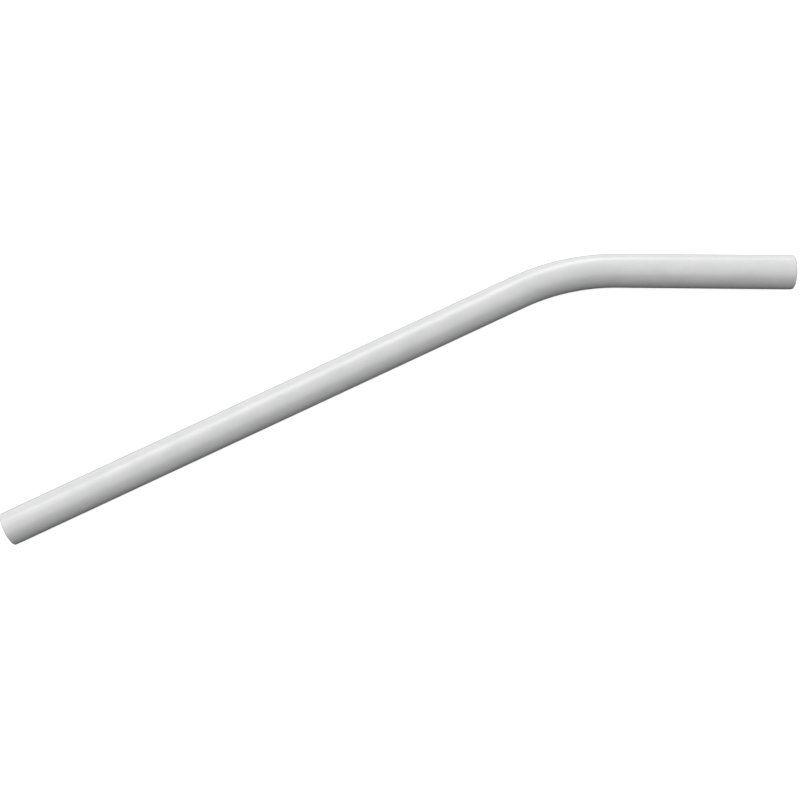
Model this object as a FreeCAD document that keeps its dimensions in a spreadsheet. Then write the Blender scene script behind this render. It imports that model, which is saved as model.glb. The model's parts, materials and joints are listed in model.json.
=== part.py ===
import FreeCAD, Part
import os
import Sketcher
from FreeCAD import Placement, Rotation, Vector

# Saliva ejector tube: an extruded PVC tube with a soft steel wire buried in its wall.
#
# The tube lies flat with its bend in the XY plane. The origin is the middle of the open base
# end, +X runs along the long base leg toward the mouth, and the short mouth leg turns toward
# -Y. The wire runs along the underside of the wall, on the neutral line of the bend, so it
# keeps its length when the tube is bent further or straightened.
#
# Tube and wire are each one piece on the bench. Each is held here as a base leg, a bend and
# a mouth leg, which meet face to face, because the bend is where the object moves.

# Driving sizes, in millimetres and degrees.
SIZES = [
    ("tube_outer_dia", 6.3),       # outside of the tube, which the valve grips
    ("wall_thickness", 1.0),       # tube wall, with the wire in the middle of it
    ("base_leg_length", 102.4),    # straight stretch on the valve's side
    ("mouth_leg_length", 31.8),    # straight stretch on the mouth's side
    ("bend_radius", 40.0),         # centre line of the bend, as the tube is set
    ("bend_angle", 27.5),          # turn from the base leg to the mouth leg
    ("base_lip_radius", 0.25),     # outer edge of the base end, barely rounded
    ("mouth_lip_radius", 0.45),    # outer edge of the mouth end, softened for the cheek
    ("bore_lip_radius", 0.15),     # inner edge of both ends
    ("wire_dia", 0.6),             # soft steel wire
    ("wire_clearance", 0.02),      # all round the wire in its channel
    ("wire_end_cover", 1.5),       # wall left over the end of the wire at the mouth
]

# Sizes that follow from the driving ones.
DERIVED = [
    ("tube_radius", "=tube_outer_dia / 2"),
    ("bore_radius", "=tube_radius - wall_thickness"),
    ("wire_radius", "=wire_dia / 2"),
    ("channel_radius", "=wire_radius + wire_clearance"),
    ("wire_offset", "=(tube_radius + bore_radius) / 2"),
    ("mouth_channel_length", "=mouth_leg_length - wire_end_cover"),
    ("mouth_leg_x", "=base_leg_length + bend_radius * sin(bend_angle)"),
    ("mouth_leg_y", "=-bend_radius * (1 - cos(bend_angle))"),
]

TOUCH = 1e-6    # millimetres within which two lengths count as equal

doc = FreeCAD.newDocument("saliva_ejector_tip")
sheet = doc.addObject("Spreadsheet::Sheet", "Sizes")


def fill_sheet():
    """One row for each size: its name, its value or formula, and its alias."""
    for row, (alias, content) in enumerate(SIZES + DERIVED, start=1):
        sheet.set("A%d" % row, alias)
        sheet.set("B%d" % row, str(content))
        sheet.setAlias("B%d" % row, alias)
    doc.recompute()


def new_body(name):
    """A body whose label names its file."""
    body = doc.addObject("PartDesign::Body", name)
    body.Label = name
    return body


def cross_section(body, name):
    """A sketch square to the tube: its x runs along the body's Y and its y along Z."""
    planes = body.Origin.OriginFeatures
    plane = [item for item in planes if item.Role == "YZ_Plane"][0]
    sketch = body.newObject("Sketcher::SketchObject", name)
    sketch.AttachmentSupport = [(plane, "")]
    sketch.MapMode = "FlatFace"
    return sketch


def bind(sketch, constraint, size):
    """Tie one constraint of a sketch to a size in the sheet."""
    sketch.setExpression("Constraints[%d]" % constraint, "Sizes." + size)


def tube_circle(sketch, size):
    """A circle about the tube's centre line."""
    start = getattr(sheet, size)
    circle = sketch.addGeometry(Part.Circle(Vector(0, 0, 0), Vector(0, 0, 1), start), False)
    sketch.addConstraint(Sketcher.Constraint("Coincident", circle, 3, -1, 1))
    bind(sketch, sketch.addConstraint(Sketcher.Constraint("Radius", circle, start)), size)


def wire_circle(sketch, size):
    """A circle about the wire's centre line, in the wall under the bore."""
    start = getattr(sheet, size)
    drop = sheet.wire_offset
    circle = sketch.addGeometry(Part.Circle(Vector(0, -drop, 0), Vector(0, 0, 1), start), False)
    sketch.addConstraint(Sketcher.Constraint("PointOnObject", circle, 3, -2))
    depth = Sketcher.Constraint("DistanceY", circle, 3, -1, 1, drop)
    bind(sketch, sketch.addConstraint(depth), "wire_offset")
    bind(sketch, sketch.addConstraint(Sketcher.Constraint("Radius", circle, start)), size)


def bend_axis(sketch):
    """A construction line through the middle of the bend's arc, square to the bend."""
    side = -sheet.bend_radius
    line = Part.LineSegment(Vector(side, 0, 0), Vector(side, 1, 0))
    axis = sketch.addGeometry(line, True)
    sketch.addConstraint(Sketcher.Constraint("Vertical", axis))
    sketch.addConstraint(Sketcher.Constraint("PointOnObject", axis, 1, -1))
    sketch.addConstraint(Sketcher.Constraint("DistanceY", axis, 1, axis, 2, 1.0))
    away = Sketcher.Constraint("DistanceX", axis, 1, -1, 1, sheet.bend_radius)
    bind(sketch, sketch.addConstraint(away), "bend_radius")


def pad(body, sketch, name, length):
    """Carry the sketch straight along the body's +X."""
    straight = body.newObject("PartDesign::Pad", name)
    straight.Profile = sketch
    straight.setExpression("Length", "Sizes." + length)
    return straight


def turn(body, sketch, name):
    """Carry the sketch round the bend, away from the base leg."""
    arc = body.newObject("PartDesign::Revolution", name)
    arc.Profile = sketch
    arc.ReferenceAxis = (sketch, ["Axis0"])
    arc.Reversed = True
    arc.setExpression("Angle", "Sizes.bend_angle")
    doc.recompute()
    if arc.Shape.BoundBox.Center.x < 0:
        raise RuntimeError("%s turns back over the base leg" % name)


def round_rim(body, name, base, along, rim_radius, lip):
    """Round the edge of that radius at one end of a straight leg."""
    doc.recompute()
    rims = []
    for number, edge in enumerate(base.Shape.Edges, start=1):
        if edge.Curve.TypeId != "Part::GeomCircle":
            continue
        on_end = abs(edge.Curve.Center.x - along) < TOUCH
        if on_end and abs(edge.Curve.Radius - rim_radius) < TOUCH:
            rims.append("Edge%d" % number)
    if len(rims) != 1:
        raise RuntimeError("%s has no single rim to round" % name)
    fillet = body.newObject("PartDesign::Fillet", name)
    fillet.Base = (base, rims)
    fillet.setExpression("Radius", "Sizes." + lip)
    return fillet


def cut_channel(body, name, length):
    """Cut the wire's channel along the wall, from the body's own origin toward +X."""
    doc.recompute()
    before = body.Shape.Volume
    section = cross_section(body, name + "_section")
    wire_circle(section, "channel_radius")
    channel = body.newObject("PartDesign::Pocket", name)
    channel.Profile = section
    channel.Reversed = True
    channel.setExpression("Length", "Sizes." + length)
    doc.recompute()
    cut = before - channel.Shape.Volume
    if cut < channel.Length.Value * sheet.channel_radius ** 2:
        raise RuntimeError("%s cuts nothing" % name)


def on_bend(body):
    """Start the body where the base leg ends."""
    body.setExpression("Placement.Base.x", "Sizes.base_leg_length")
    return body


def on_mouth_leg(body):
    """Start the body where the bend ends, in line with the mouth leg."""
    body.Placement = Placement(Vector(0, 0, 0), Rotation(Vector(0, 0, -1), sheet.bend_angle))
    body.setExpression("Placement.Base.x", "Sizes.mouth_leg_x")
    body.setExpression("Placement.Base.y", "Sizes.mouth_leg_y")
    body.setExpression("Placement.Rotation.Angle", "Sizes.bend_angle")
    return body


def tube_leg(name, length, open_end, lip, channel_length):
    """A straight leg of tube: its wall, the two rounded rims of its open end, its channel."""
    body = new_body(name)
    section = cross_section(body, name + "_section")
    tube_circle(section, "tube_radius")
    tube_circle(section, "bore_radius")
    wall = pad(body, section, name + "_wall", length)
    outer = round_rim(body, name + "_outer_lip", wall, open_end, sheet.tube_radius, lip)
    round_rim(body, name + "_bore_lip", outer, open_end, sheet.bore_radius, "bore_lip_radius")
    cut_channel(body, name + "_channel", channel_length)
    return body


def tube_bend():
    """The curved stretch of tube, where it is bent by hand."""
    body = new_body("tube_bend")
    section = cross_section(body, "tube_bend_section")
    tube_circle(section, "tube_radius")
    tube_circle(section, "bore_radius")
    wire_circle(section, "channel_radius")
    bend_axis(section)
    turn(body, section, "tube_bend_wall")
    return body


def wire_leg(name, length):
    """A straight run of wire."""
    body = new_body(name)
    section = cross_section(body, name + "_section")
    wire_circle(section, "wire_radius")
    pad(body, section, name + "_run", length)
    return body


def wire_bend():
    """The curved stretch of wire, which holds the tube at the angle it is given."""
    body = new_body("wire_bend")
    section = cross_section(body, "wire_bend_section")
    wire_circle(section, "wire_radius")
    bend_axis(section)
    turn(body, section, "wire_bend_run")
    return body


def check_document(parts):
    """Stop on a failed object, or on a part that isn't one good solid."""
    for item in doc.Objects:
        if "Invalid" in item.State or "Error" in item.State:
            raise RuntimeError("%s failed: %s" % (item.Name, item.State))
    for part in parts:
        shape = part.Shape
        if shape.isNull() or not shape.isValid() or len(shape.Solids) != 1:
            raise RuntimeError("%s isn't one valid solid" % part.Label)


fill_sheet()

# The base leg's channel runs right through. The mouth leg's stops inside the wall, so no
# bare wire end reaches the mouth.
base_tube = tube_leg("tube_base_leg", "base_leg_length", 0, "base_lip_radius", "base_leg_length")
mouth_tube = tube_leg("tube_mouth_leg", "mouth_leg_length", sheet.mouth_leg_length,
                      "mouth_lip_radius", "mouth_channel_length")
parts = [
    base_tube,
    on_bend(tube_bend()),
    on_mouth_leg(mouth_tube),
    wire_leg("wire_base_leg", "base_leg_length"),
    on_bend(wire_bend()),
    on_mouth_leg(wire_leg("wire_mouth_leg", "mouth_channel_length")),
]
doc.recompute()
check_document(parts)

os.makedirs("parts", exist_ok=True)
for part in parts:
    part.Shape.exportStep("parts/%s.step" % part.Label)
    print("%-16s volume %8.2f mm3" % (part.Label, part.Shape.Volume))
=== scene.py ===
"""Saliva ejector tube: the finished tube and its shape wire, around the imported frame."""

import json
import logging
import math
from dataclasses import dataclass
from enum import Enum
from typing import Any, Iterable, Mapping

import bpy
from mathutils import Euler, Matrix, Vector


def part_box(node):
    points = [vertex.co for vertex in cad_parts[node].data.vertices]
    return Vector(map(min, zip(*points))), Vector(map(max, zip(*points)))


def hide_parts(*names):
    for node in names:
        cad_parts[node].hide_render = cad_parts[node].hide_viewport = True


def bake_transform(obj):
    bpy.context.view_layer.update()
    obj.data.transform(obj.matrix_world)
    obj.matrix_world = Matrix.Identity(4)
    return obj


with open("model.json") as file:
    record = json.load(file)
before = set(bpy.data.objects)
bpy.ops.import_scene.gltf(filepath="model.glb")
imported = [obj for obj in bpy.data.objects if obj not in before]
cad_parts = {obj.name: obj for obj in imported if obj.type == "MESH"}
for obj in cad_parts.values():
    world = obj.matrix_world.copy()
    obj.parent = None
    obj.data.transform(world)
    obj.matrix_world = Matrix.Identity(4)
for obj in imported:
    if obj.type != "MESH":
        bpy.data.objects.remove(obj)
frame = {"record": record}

LOG = logging.getLogger("saliva_ejector")
MM = 0.001
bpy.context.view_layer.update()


class TreeKind(Enum):
    """The two kinds of node tree that this script builds."""

    SHADER = "ShaderNodeTree"
    GEOMETRY = "GeometryNodeTree"


class Term:
    """A number or vector socket that takes part in arithmetic."""

    def __init__(self, graph: "Graph", socket: bpy.types.NodeSocket) -> None:
        """Wraps an output socket of one graph."""
        self.graph = graph
        self.socket = socket

    def apply(self, operation: str, *others: Any) -> "Term":
        """Adds a Math node with this socket first.

        Args:
            operation: The Math node's operation.
            others: The numbers or sockets that follow this one.

        Returns:
            The node's result.
        """
        return self.graph.maths(operation, self, *others)

    def __add__(self, other: Any) -> "Term":
        """Sum."""
        return self.graph.maths("ADD", self, other)

    def __radd__(self, other: Any) -> "Term":
        """Sum with the plain number first."""
        return self.graph.maths("ADD", other, self)

    def __sub__(self, other: Any) -> "Term":
        """Difference."""
        return self.graph.maths("SUBTRACT", self, other)

    def __rsub__(self, other: Any) -> "Term":
        """Difference with the plain number first."""
        return self.graph.maths("SUBTRACT", other, self)

    def __mul__(self, other: Any) -> "Term":
        """Product."""
        return self.graph.maths("MULTIPLY", self, other)

    def __rmul__(self, other: Any) -> "Term":
        """Product with the plain number first."""
        return self.graph.maths("MULTIPLY", other, self)

    def __truediv__(self, other: Any) -> "Term":
        """Quotient."""
        return self.graph.maths("DIVIDE", self, other)

    def __neg__(self) -> "Term":
        """The same with the other sign."""
        return self.graph.maths("MULTIPLY", self, -1.0)

    def between(self, low: float, high: float) -> "Term":
        """Rises smoothly from 0 at low to 1 at high."""
        limits = {"From Min": low, "From Max": high}
        settings = {"interpolation_type": "SMOOTHSTEP"}
        ramp = self.graph.node("ShaderNodeMapRange", settings, {"Value": self, **limits})
        return Term(self.graph, ramp.outputs["Result"])


class Graph:
    """A node tree under construction."""

    def __init__(self, tree: bpy.types.NodeTree) -> None:
        """Takes over a tree and empties it."""
        self.tree = tree
        self.tree.nodes.clear()

    def node(self, kind: str, settings: Mapping[str, Any] | None = None,
             sockets: Mapping[str | int, Any] | None = None) -> bpy.types.Node:
        """Adds one node.

        Args:
            kind: The node's type name.
            settings: The node's own properties, set before its sockets.
            sockets: A value, or a socket to link, for each input named or numbered.

        Returns:
            The new node.
        """
        made = self.tree.nodes.new(kind)
        for name, value in (settings or {}).items():
            setattr(made, name, value)
        for key, value in (sockets or {}).items():
            self.feed(self.pick(made.inputs, key), value)
        return made

    @staticmethod
    def pick(sockets: Any, key: str | int) -> bpy.types.NodeSocket:
        """Finds a socket by number, or by name among those in use."""
        if isinstance(key, int):
            return sockets[key]
        return next(socket for socket in sockets if socket.name == key and socket.enabled)

    def feed(self, target: bpy.types.NodeSocket, value: Any) -> None:
        """Links a socket or sets its number."""
        if isinstance(value, Term):
            value = value.socket
        if isinstance(value, bpy.types.NodeSocket):
            self.tree.links.new(value, target)
        else:
            target.default_value = value

    def maths(self, operation: str, *values: Any) -> Term:
        """Adds a Math node.

        Args:
            operation: The node's operation.
            values: Its numbers or sockets, in order.

        Returns:
            The node's result.
        """
        made = self.node("ShaderNodeMath", {"operation": operation}, dict(enumerate(values)))
        return Term(self, made.outputs[0])

    def vector(self, x: Any, y: Any, z: Any) -> Term:
        """Joins three numbers or sockets into a vector."""
        made = self.node("ShaderNodeCombineXYZ", None, {"X": x, "Y": y, "Z": z})
        return Term(self, made.outputs[0])

    def parts(self, vector: Any) -> tuple[Term, Term, Term]:
        """Splits a vector into its three numbers."""
        made = self.node("ShaderNodeSeparateXYZ", None, {0: vector})
        return tuple(Term(self, made.outputs[axis]) for axis in "XYZ")


@dataclass(frozen=True)
class TubeSizes:
    """The sizes of the tube, in metres and radians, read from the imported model."""

    outer_radius: float
    bore_radius: float
    base_leg: float
    mouth_leg: float
    bend_radius: float
    bend_angle: float

    @property
    def bend_length(self) -> float:
        """Length of the bend along the centre line."""
        return self.bend_radius * self.bend_angle

    @property
    def length(self) -> float:
        """Length of the whole tube along the centre line."""
        return self.base_leg + self.bend_length + self.mouth_leg

    @classmethod
    def from_frame(cls) -> "TubeSizes":
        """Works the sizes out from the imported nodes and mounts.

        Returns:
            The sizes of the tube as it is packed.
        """
        mounts = {mount["name"]: mount for mount in frame["record"]["mounts"]}
        outer = mounts["base_spigot"]["dims"]["r_mm"] * MM
        bore = mounts["base_bore"]["dims"]["r_mm"] * MM
        base_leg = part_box("tube_base_leg")[1][0]
        mouth_end = Vector(mounts["mouth_spigot"]["pos_m"])
        outward = Vector(mounts["mouth_spigot"]["axis"])
        turn = math.atan2(-outward.y, outward.x)
        # The mouth leg's line meets the base leg's line at the virtual corner.
        corner = mouth_end.x - outward.x * mouth_end.y / outward.y
        tangent = corner - base_leg
        corner_to_end = (mouth_end - Vector((corner, 0.0, 0.0))).length
        return cls(outer, bore, base_leg, corner_to_end - tangent,
                   tangent / math.tan(turn / 2), turn)

    def point(self, along: float) -> Vector:
        """A point of the centre line.

        Args:
            along: Distance from the base end, along the centre line.

        Returns:
            The point in the row's frame.
        """
        turned = min(max(along - self.base_leg, 0.0), self.bend_length) / self.bend_radius
        straight = max(along - self.base_leg - self.bend_length, 0.0)
        x = min(along, self.base_leg) + self.bend_radius * math.sin(turned)
        y = -self.bend_radius * (1 - math.cos(turned))
        return Vector((x + straight * math.cos(turned), y - straight * math.sin(turned), 0.0))


class TurnedAndBent:
    """Geometry Nodes that turn an outline into a round solid and bend it as the tube is bent.

    The outline lies in the XY plane of its mesh: x is the distance along the centre line and
    y is the distance from it. The straight place of every point is kept in an attribute, so
    that patterns follow the material round the bend.
    """

    STRAIGHT = "straight_place"

    def __init__(self, name: str, with_channel: bool) -> None:
        """Builds the tree.

        Args:
            name: The tree's name.
            with_channel: Whether the wire's channel is cut out of the solid.
        """
        self.with_channel = with_channel
        self.tree = bpy.data.node_groups.new(name, TreeKind.GEOMETRY.value)
        self.graph = Graph(self.tree)
        self._declare()
        self._build()

    def _declare(self) -> None:
        """States the tree's inputs and its one output."""
        face = self.tree.interface
        face.new_socket("Outline", in_out="INPUT", socket_type="NodeSocketGeometry")
        sizes = ["Drop", "Base Leg", "Bend Radius", "Bend Angle", "Channel Drop",
                 "Channel Radius", "Channel Length"]
        for size in sizes:
            face.new_socket(size, in_out="INPUT", socket_type="NodeSocketFloat")
        for count in ("Points Along", "Points Around"):
            face.new_socket(count, in_out="INPUT", socket_type="NodeSocketInt")
        face.new_socket("Material", in_out="INPUT", socket_type="NodeSocketMaterial")
        face.new_socket("Solid", in_out="OUTPUT", socket_type="NodeSocketGeometry")

    def _build(self) -> None:
        """Joins the steps: turn, cut, bend, shade and dress."""
        graph = self.graph
        given = graph.node("NodeGroupInput").outputs
        solid = self._turn(given)
        if self.with_channel:
            solid = self._cut_channel(given, solid)
        place = graph.node("GeometryNodeInputPosition").outputs[0]
        kept = graph.node("GeometryNodeStoreNamedAttribute",
                          {"data_type": "FLOAT_VECTOR", "domain": "POINT"},
                          {"Geometry": solid, "Name": self.STRAIGHT, "Value": place})
        bent = graph.node("GeometryNodeSetPosition", None,
                          {"Geometry": kept.outputs[0], "Position": self._bend(given, place)})
        smooth = graph.node("GeometryNodeSetShadeSmooth", None, {"Geometry": bent.outputs[0]})
        angle = Term(graph, graph.node("GeometryNodeInputMeshEdgeAngle").outputs[0])
        crease = math.radians(35.0)
        soft = graph.node("GeometryNodeSetShadeSmooth", {"domain": "EDGE"},
                          {"Geometry": smooth.outputs[0], "Selection": angle.apply("GREATER_THAN", crease),
                           "Shade Smooth": False})
        real = graph.node("GeometryNodeRealizeInstances", None, {"Geometry": soft.outputs[0]})
        dressed = graph.node("GeometryNodeSetMaterial", None,
                             {"Geometry": real.outputs[0], "Material": given["Material"]})
        graph.node("NodeGroupOutput", None, {"Solid": dressed.outputs[0]})

    def _turn(self, given: Any) -> bpy.types.NodeSocket:
        """Turns the outline about its centre line into a closed round solid."""
        graph = self.graph
        along, around = given["Points Along"], given["Points Around"]
        rows = Term(graph, around) + 1.0
        grid = graph.node("GeometryNodeMeshGrid", None, {"Vertices X": rows.socket, "Vertices Y": along})
        index = Term(graph, graph.node("GeometryNodeInputIndex").outputs[0])
        column = index.apply("MODULO", Term(graph, along))
        row = (index / Term(graph, along)).apply("FLOOR")
        turned = row / Term(graph, around) * math.tau
        corner = graph.node("GeometryNodeSampleIndex", {"data_type": "FLOAT_VECTOR"},
                            {"Geometry": given["Outline"], "Index": column.socket,
                             "Value": graph.node("GeometryNodeInputPosition").outputs[0]})
        reach, radius, _ = graph.parts(corner.outputs[0])
        place = graph.vector(reach, radius * turned.apply("COSINE"),
                             radius * turned.apply("SINE") - Term(graph, given["Drop"]))
        moved = graph.node("GeometryNodeSetPosition", None, {"Geometry": grid.outputs[0], "Position": place})
        joined = graph.node("GeometryNodeMergeByDistance", None,
                            {"Geometry": moved.outputs[0], "Distance": 0.00005 * MM})
        return joined.outputs[0]

    def _cut_channel(self, given: Any, solid: bpy.types.NodeSocket) -> bpy.types.NodeSocket:
        """Cuts the wire's channel into the wall from the base end."""
        graph = self.graph
        overshoot = 1.0 * MM
        length = Term(graph, given["Channel Length"])
        rod = graph.node("GeometryNodeMeshCylinder", None,
                         {"Vertices": 40, "Side Segments": 140, "Radius": given["Channel Radius"],
                          "Depth": length + overshoot})
        middle = graph.vector((length - overshoot) / 2.0, 0.0, -Term(graph, given["Channel Drop"]))
        laid = graph.node("GeometryNodeTransform", None,
                          {"Geometry": rod.outputs[0], "Translation": middle,
                           "Rotation": (0.0, math.radians(90.0), 0.0)})
        cut = graph.node("GeometryNodeMeshBoolean", {"operation": "DIFFERENCE", "solver": "EXACT"},
                         {"Mesh 1": solid, "Mesh 2": laid.outputs[0]})
        return cut.outputs[0]

    def _bend(self, given: Any, place: bpy.types.NodeSocket) -> Term:
        """Carries a straight point to its place on the bent tube."""
        graph = self.graph
        along, aside, up = graph.parts(place)
        leg = Term(graph, given["Base Leg"])
        radius = Term(graph, given["Bend Radius"])
        angle = Term(graph, given["Bend Angle"])
        turned = ((along - leg) / radius).apply("MAXIMUM", 0.0).apply("MINIMUM", angle)
        past = (along - leg - radius * angle).apply("MAXIMUM", 0.0)
        sine, cosine = turned.apply("SINE"), turned.apply("COSINE")
        x = along.apply("MINIMUM", leg) + (radius + aside) * sine + past * cosine
        y = aside * cosine - radius * (1.0 - cosine) - past * sine
        return graph.vector(x, y, up)

    def make(self, name: str, outline: list[tuple[float, float]], closed: bool,
             sizes: Mapping[str, Any]) -> bpy.types.Object:
        """Makes one finished mesh from an outline.

        Args:
            name: The piece's name.
            outline: Points of the outline, as distance along and distance from the centre line.
            closed: Whether the outline comes back to its first point.
            sizes: A value for each of the tree's inputs but the outline and its number of points.

        Returns:
            An object at the origin whose mesh is the finished solid.
        """
        points = outline + outline[:1] if closed else outline
        base = bpy.data.meshes.new(name + "_outline")
        base.from_pydata([(along, away, 0.0) for along, away in points], [], [])
        maker = bpy.data.objects.new(name + "_maker", base)
        bpy.context.scene.collection.objects.link(maker)
        modifier = maker.modifiers.new("solid", "NODES")
        modifier.node_group = self.tree
        values = {"Points Along": len(points), **sizes}
        for item in self.tree.interface.items_tree:
            if item.in_out == "INPUT" and item.name in values:
                modifier[item.identifier] = values[item.name]
        bpy.context.view_layer.update()
        depsgraph = bpy.context.evaluated_depsgraph_get()
        mesh = bpy.data.meshes.new_from_object(maker.evaluated_get(depsgraph))
        mesh.name = name
        bpy.data.objects.remove(maker)
        piece = bpy.data.objects.new(name, mesh)
        bpy.context.scene.collection.objects.link(piece)
        return piece


def spread(start: float, end: float, count: int) -> list[float]:
    """Numbers evenly spread from start up to, but without, end."""
    return [start + (end - start) * step / count for step in range(count)]


def quarter(centre: tuple[float, float], radius: float, first: float,
            steps: int) -> list[tuple[float, float]]:
    """Points of a quarter circle that turns clockwise.

    Args:
        centre: Middle of the quarter circle.
        radius: Its radius.
        first: Angle of its first point, in degrees.
        steps: Number of steps along it.

    Returns:
        The points, both ends included.
    """
    angles = [math.radians(first - 90.0 * step / steps) for step in range(steps + 1)]
    return [(centre[0] + radius * math.cos(a), centre[1] + radius * math.sin(a)) for a in angles]


def noise(graph: Graph, place: Any, along: float, across: float, detail: float = 2.0) -> Term:
    """A noise pattern on a straight place.

    Args:
        graph: The material's tree.
        place: The straight place.
        along: Length of its blotches along the tube, in metres.
        across: Their width across it, in metres.
        detail: Number of finer patterns laid over it.

    Returns:
        A number about 0.5, between 0 and 1.
    """
    scale = (1.0 / along, 1.0 / across, 1.0 / across)
    mapped = graph.node("ShaderNodeMapping", None, {"Vector": place, "Scale": scale})
    made = graph.node("ShaderNodeTexNoise", None,
                      {"Vector": mapped.outputs[0], "Scale": 1.0, "Detail": detail})
    return Term(graph, made.outputs["Fac"])


def straight_place(graph: Graph) -> bpy.types.NodeSocket:
    """Where a point was before the tube was bent."""
    read = graph.node("ShaderNodeAttribute", {"attribute_name": TurnedAndBent.STRAIGHT})
    return read.outputs["Vector"]


@dataclass(frozen=True)
class WhitePvc:
    """Glossy opaque white PVC as it leaves the extruder, matte where the knife cut it."""

    length: float
    name: str = "white_pvc"
    colour: tuple[float, float, float] = (0.865, 0.87, 0.865)
    shade: tuple[float, float, float] = (0.82, 0.828, 0.826)
    roughness: float = 0.30
    cut_roughness: float = 0.55
    cut_depth: float = 0.02 * MM
    coat: float = 0.6
    coat_roughness: float = 0.05
    refraction: float = 1.53
    relief: float = 0.004 * MM
    relief_strength: float = 0.5
    # Length and width of each pattern's marks.
    die_line_size: tuple[float, float] = (60.0 * MM, 0.45 * MM)
    fine_line_size: tuple[float, float] = (25.0 * MM, 0.16 * MM)
    ripple_size: tuple[float, float] = (16.0 * MM, 3.0 * MM)
    mottle_size: tuple[float, float] = (4.0 * MM, 2.5 * MM)
    grain_size: tuple[float, float] = (0.11 * MM, 0.11 * MM)
    saw_mark_size: tuple[float, float] = (0.3 * MM, 0.09 * MM)
    # Height of each pattern, in reliefs.
    die_line_height: float = 1.6
    fine_line_height: float = 0.5
    ripple_height: float = 5.0
    grain_height: float = 0.2
    saw_mark_height: float = 3.0
    # How far the mottle and the fine lines change the roughness.
    mottle_gloss: float = 0.12
    fine_line_gloss: float = 0.1

    def material(self) -> bpy.types.Material:
        """Builds the finish.

        Returns:
            The material, whose patterns follow the tube's straight place.
        """
        made = bpy.data.materials.new(self.name)
        made.use_nodes = True
        graph = Graph(made.node_tree)
        place = straight_place(graph)
        die_lines = noise(graph, place, *self.die_line_size)
        fine_lines = noise(graph, place, *self.fine_line_size)
        ripple = noise(graph, place, *self.ripple_size, detail=1.0)
        mottle = noise(graph, place, *self.mottle_size, detail=3.0)
        grain = noise(graph, place, *self.grain_size)
        saw = noise(graph, place, *self.saw_mark_size, detail=3.0)
        cut = self.on_cut(graph, place)
        tint = graph.node("ShaderNodeMix", {"data_type": "RGBA"},
                          {"Factor": mottle.between(0.35, 0.7),
                           "A": (*self.colour, 1.0), "B": (*self.shade, 1.0)})
        drawn = (self.roughness + (mottle - 0.5) * self.mottle_gloss
                 + (fine_lines - 0.5) * self.fine_line_gloss)
        rough = drawn + cut * (self.cut_roughness - self.roughness)
        skin = (die_lines * self.die_line_height + fine_lines * self.fine_line_height
                + ripple * self.ripple_height + grain * self.grain_height)
        height = skin * (1.0 - cut) + saw * cut * self.saw_mark_height
        bump = graph.node("ShaderNodeBump", None,
                          {"Strength": self.relief_strength, "Distance": self.relief, "Height": height})
        shader = graph.node("ShaderNodeBsdfPrincipled", None,
                            {"Base Color": graph.pick(tint.outputs, "Result"), "Roughness": rough,
                             "Normal": bump.outputs[0], "IOR": self.refraction,
                             "Coat Weight": (1.0 - cut) * self.coat,
                             "Coat Roughness": self.coat_roughness})
        graph.node("ShaderNodeOutputMaterial", None, {"Surface": shader.outputs[0]})
        return made

    def on_cut(self, graph: Graph, place: bpy.types.NodeSocket) -> Term:
        """Marks the flat cut faces at both ends.

        Args:
            graph: The material's tree.
            place: The straight place.

        Returns:
            1 on a cut face and 0 elsewhere.
        """
        along, _, _ = graph.parts(place)
        base = along.apply("LESS_THAN", self.cut_depth)
        mouth = along.apply("GREATER_THAN", self.length - self.cut_depth)
        return base + mouth


@dataclass(frozen=True)
class ZincWire:
    """Bright zinc-coated soft steel wire."""

    name: str = "zinc_wire"
    colour: tuple[float, float, float] = (0.56, 0.56, 0.55)
    roughness: float = 0.34
    mark_size: tuple[float, float] = (5.0 * MM, 0.05 * MM)
    mark_gloss: float = 0.2
    relief: float = 0.004 * MM
    relief_strength: float = 0.4

    def material(self) -> bpy.types.Material:
        """Builds the finish.

        Returns:
            The material, whose draw marks run along the wire.
        """
        made = bpy.data.materials.new(self.name)
        made.use_nodes = True
        graph = Graph(made.node_tree)
        marks = noise(graph, straight_place(graph), *self.mark_size)
        rough = self.roughness + (marks - 0.5) * self.mark_gloss
        bump = graph.node("ShaderNodeBump", None,
                          {"Strength": self.relief_strength, "Distance": self.relief, "Height": marks})
        skin = graph.node("ShaderNodeBsdfPrincipled", None,
                          {"Base Color": (*self.colour, 1.0), "Metallic": 1.0, "Roughness": rough,
                           "Normal": bump.outputs[0]})
        graph.node("ShaderNodeOutputMaterial", None, {"Surface": skin.outputs[0]})
        return made


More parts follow.
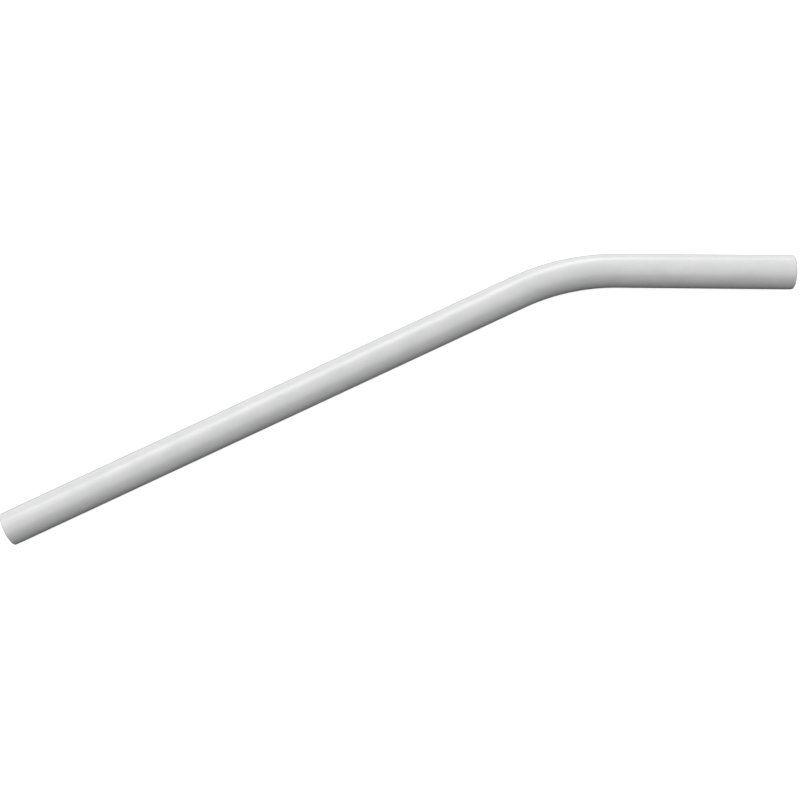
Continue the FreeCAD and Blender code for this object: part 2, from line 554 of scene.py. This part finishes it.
@dataclass
class EjectorTube:
    """The extruded tube, in one piece from its base end to its mouth end."""

    sizes: TubeSizes
    base_lip: float = 0.25 * MM
    mouth_lip: float = 0.45 * MM
    bore_lip: float = 0.15 * MM
    channel_radius: float = 0.32 * MM
    wire_end_cover: float = 1.5 * MM
    points_around: int = 96
    station: float = 1.2 * MM
    lip_steps: int = 8
    edge_band: float = 0.03 * MM

    @property
    def channel_drop(self) -> float:
        """Distance of the wire's channel below the centre line: the middle of the wall."""
        return (self.sizes.outer_radius + self.sizes.bore_radius) / 2

    def outline(self) -> list[tuple[float, float]]:
        """The tube's outline on one side of its centre line.

        Returns:
            Its points, from the base end along the outside and back along the bore.
        """
        outer, bore, end = self.sizes.outer_radius, self.sizes.bore_radius, self.sizes.length
        base, mouth, inner, band = self.base_lip, self.mouth_lip, self.bore_lip, self.edge_band
        steps = max(2, round(end / self.station))
        points = quarter((base, outer - base), base, 180.0, self.lip_steps)
        points += [(x, outer) for x in spread(base + band, end - mouth - band, steps)]
        points += [(end - mouth - band, outer)]
        points += quarter((end - mouth, outer - mouth), mouth, 90.0, self.lip_steps)
        points += [(end, outer - mouth - band), (end, bore + inner + band)]
        points += quarter((end - inner, bore + inner), inner, 0.0, self.lip_steps)
        points += [(x, bore) for x in spread(end - inner - band, inner + band, steps)]
        points += [(inner + band, bore)]
        points += quarter((inner, bore + inner), inner, -90.0, self.lip_steps)
        points += [(0.0, bore + inner + band), (0.0, outer - base - band)]
        return points

    def build(self) -> bpy.types.Object:
        """Makes the tube and hides the imported nodes that it stands for.

        Returns:
            The finished tube.
        """
        maker = TurnedAndBent("turned_and_bent_tube", with_channel=True)
        tube = maker.make("ejector_tube", self.outline(), True, {
            "Drop": 0.0,
            "Base Leg": self.sizes.base_leg,
            "Bend Radius": self.sizes.bend_radius,
            "Bend Angle": self.sizes.bend_angle,
            "Channel Drop": self.channel_drop,
            "Channel Radius": self.channel_radius,
            "Channel Length": self.sizes.length - self.wire_end_cover,
            "Points Around": self.points_around,
            "Material": WhitePvc(self.sizes.length).material(),
        })
        hand_to_frame(tube, ["tube_base_leg", "tube_bend", "tube_mouth_leg"])
        return tube


@dataclass
class ShapeWire:
    """The soft wire in the tube's wall, in one piece."""

    sizes: TubeSizes
    radius: float = 0.3 * MM
    end_cover: float = 1.52 * MM
    burr: float = 0.04 * MM
    points_around: int = 32
    station: float = 1.0 * MM

    def outline(self) -> list[tuple[float, float]]:
        """The wire's outline on one side of its own centre line.

        Returns:
            Its points, from the middle of one cut end to the middle of the other.
        """
        end = self.sizes.length - self.end_cover
        edge, burr = self.radius, self.burr
        steps = max(2, round(end / self.station))
        points = [(0.0, 0.0), (0.0, edge / 2), (0.0, edge - 1.5 * burr), (0.25 * burr, edge - 0.5 * burr)]
        points += [(x, edge) for x in spread(burr, end - burr, steps)]
        points += [(end - burr, edge), (end, edge - burr), (end, edge / 2), (end, 0.0)]
        return points

    def build(self) -> bpy.types.Object:
        """Makes the wire and hides the imported nodes that it stands for.

        Returns:
            The finished wire.
        """
        maker = TurnedAndBent("turned_and_bent_wire", with_channel=False)
        wire = maker.make("shape_wire", self.outline(), False, {
            "Drop": (self.sizes.outer_radius + self.sizes.bore_radius) / 2,
            "Base Leg": self.sizes.base_leg,
            "Bend Radius": self.sizes.bend_radius,
            "Bend Angle": self.sizes.bend_angle,
            "Points Around": self.points_around,
            "Material": ZincWire().material(),
        })
        hand_to_frame(wire, ["wire_base_leg", "wire_bend", "wire_mouth_leg"])
        return wire


def hand_to_frame(piece: bpy.types.Object, nodes: Iterable[str]) -> None:
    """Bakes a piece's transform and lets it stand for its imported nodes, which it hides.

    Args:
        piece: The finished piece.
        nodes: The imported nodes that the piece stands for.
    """
    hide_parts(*nodes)
    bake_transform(piece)


@dataclass(frozen=True)
class SoftBox:
    """A flat rectangular lamp that faces the tube, with its place told from the camera."""

    name: str
    aim: Vector
    away: tuple[float, float]
    run: tuple[float, float]
    distance: float
    length: float
    width: float
    radiance: float
    gloss_only: bool = False

    def build(self, camera: bpy.types.Object) -> bpy.types.Object:
        """Hangs the lamp.

        Args:
            camera: The camera, from which the tilt and swing in away and run are told.

        Returns:
            The lamp, with its long side along its run.
        """
        data = bpy.data.lights.new(self.name, "AREA")
        data.shape = "RECTANGLE"
        data.size, data.size_y = self.length, self.width
        data.energy = self.radiance * math.pi * self.length * self.width
        lamp = bpy.data.objects.new(self.name, data)
        bpy.context.scene.collection.objects.link(lamp)
        back = toward(camera, *self.away)
        side = back.cross(toward(camera, *self.run)).normalized()
        turn = Matrix((side.cross(back), side, back)).transposed()
        lamp.matrix_world = Matrix.Translation(self.aim + back * self.distance) @ turn.to_4x4()
        lamp.visible_camera = False
        lamp.visible_diffuse = not self.gloss_only
        return lamp


def toward(camera: bpy.types.Object, tilt: float, swing: float) -> Vector:
    """A direction told from where the camera stands.

    Args:
        camera: The camera.
        tilt: Degrees away from the line back to the camera.
        swing: Degrees clockwise from the camera's up direction.

    Returns:
        A unit vector in the row's frame.
    """
    down, across = math.radians(tilt), math.radians(swing)
    local = Vector((math.sin(down) * math.sin(across), math.sin(down) * math.cos(across), math.cos(down)))
    return camera.matrix_world.to_3x3() @ local


@dataclass
class Studio:
    """Floor, lamps, backdrop and camera."""

    sizes: TubeSizes
    lens: float = 54.0
    camera_place: tuple[float, float, float] = (60.08 * MM, -77.06 * MM, 206.81 * MM)
    camera_turn: tuple[float, float, float] = (17.958, 4.448, -24.965)
    tent_tilt: float = 60.0
    tent_swing: float = -10.0
    tent_edge: float = 0.12
    tent_light: float = 0.89
    fill: float = 0.03
    line_light: float = 2.0
    shelf_light: float = 1.1
    mouth_light: float = 1.0
    mouth_fill: float = 0.3

    def build(self) -> None:
        """Sets everything up around the tube."""
        self.floor()
        camera = self.camera()
        self.light_tent(camera)
        self.soft_boxes(camera)

    def floor(self) -> None:
        """A plain pale floor that the tube lies on."""
        reach = 3.0
        mesh = bpy.data.meshes.new("floor")
        level = -self.sizes.outer_radius
        corners = [(-reach, -reach), (reach, -reach), (reach, reach), (-reach, reach)]
        mesh.from_pydata([(x, y, level) for x, y in corners], [], [(0, 1, 2, 3)])
        floor = bpy.data.objects.new("floor", mesh)
        bpy.context.scene.collection.objects.link(floor)
        made = bpy.data.materials.new("pale_floor")
        made.use_nodes = True
        graph = Graph(made.node_tree)
        matte = graph.node("ShaderNodeBsdfPrincipled", None,
                           {"Base Color": (0.9, 0.9, 0.9, 1.0), "Roughness": 0.9, "Specular IOR Level": 0.0,
                            "Emission Color": (1.0, 1.0, 1.0, 1.0), "Emission Strength": 0.75})
        graph.node("ShaderNodeOutputMaterial", None, {"Surface": matte.outputs[0]})
        mesh.materials.append(made)
        floor.visible_diffuse = False
        floor.visible_glossy = False

    def light_tent(self, camera: bpy.types.Object) -> None:
        """A pale tent, lit on the side behind and above the tube and dim in front of it."""
        world = bpy.data.worlds.new("light_tent")
        world.use_nodes = True
        bpy.context.scene.world = world
        graph = Graph(world.node_tree)
        pole = toward(camera, self.tent_tilt, self.tent_swing)
        ray = graph.node("ShaderNodeTexCoord").outputs["Generated"]
        facing = graph.node("ShaderNodeVectorMath", {"operation": "DOT_PRODUCT"}, {0: ray, 1: pole})
        lit = Term(graph, facing.outputs["Value"]).between(-self.tent_edge, self.tent_edge)
        light = graph.node("ShaderNodeBackground", None,
                           {"Color": (1.0, 1.0, 1.0, 1.0), "Strength": self.fill + lit * self.tent_light})
        seen = graph.node("ShaderNodeBackground", None, {"Color": (1.0, 1.0, 1.0, 1.0), "Strength": 1.0})
        path = graph.node("ShaderNodeLightPath")
        mix = graph.node("ShaderNodeMixShader", None,
                         {0: path.outputs["Is Camera Ray"], 1: light.outputs[0], 2: seen.outputs[0]})
        graph.node("ShaderNodeOutputWorld", None, {"Surface": mix.outputs[0]})

    def soft_boxes(self, camera: bpy.types.Object) -> None:
        """Three long lamps above, which draw the light along both legs, and a fill at the mouth end."""
        middle, mouth_end = self.sizes.point(self.sizes.length / 2), self.sizes.point(self.sizes.length)
        boxes = [
            SoftBox("line_box", aim=middle, away=(68.7, -17.0), run=(124.6, 57.2), distance=2.0,
                    length=2.2, width=0.7, radiance=self.line_light, gloss_only=True),
            SoftBox("shelf_box", aim=middle, away=(41.8, -29.8), run=(138.2, 46.9), distance=2.28,
                    length=3.0, width=0.5, radiance=self.shelf_light, gloss_only=True),
            SoftBox("mouth_box", aim=middle, away=(90.0, 9.5), run=(90.0, 90.0), distance=2.0,
                    length=0.9, width=0.56, radiance=self.mouth_light, gloss_only=True),
            SoftBox("mouth_fill", aim=mouth_end, away=(75.0, 125.0), run=(90.0, 35.0), distance=0.07,
                    length=0.06, width=0.06, radiance=self.mouth_fill),
        ]
        for box in boxes:
            box.build(camera)

    def camera(self) -> bpy.types.Object:
        """Looks down on the tube, a little from its front.

        Returns:
            The scene's camera.
        """
        data = bpy.data.cameras.new("camera")
        data.lens = self.lens
        data.clip_start = 0.01
        camera = bpy.data.objects.new("camera", data)
        bpy.context.scene.collection.objects.link(camera)
        camera.location = self.camera_place
        camera.rotation_euler = Euler([math.radians(turn) for turn in self.camera_turn], "XYZ")
        bpy.context.scene.camera = camera
        bpy.context.view_layer.update()
        return camera


def main() -> None:
    """Builds the pieces in order, then the studio around them."""
    logging.basicConfig(level=logging.INFO, format="%(name)s: %(message)s")
    sizes = TubeSizes.from_frame()
    LOG.info("tube is %.1f mm along its centre line", sizes.length / MM)
    for part in (EjectorTube(sizes), ShapeWire(sizes)):
        piece = part.build()
        LOG.info("%s has %d faces", piece.name, len(piece.data.polygons))
    Studio(sizes).build()
    bpy.context.scene.view_settings.view_transform = "Standard"


if __name__ == "__main__":
    main()
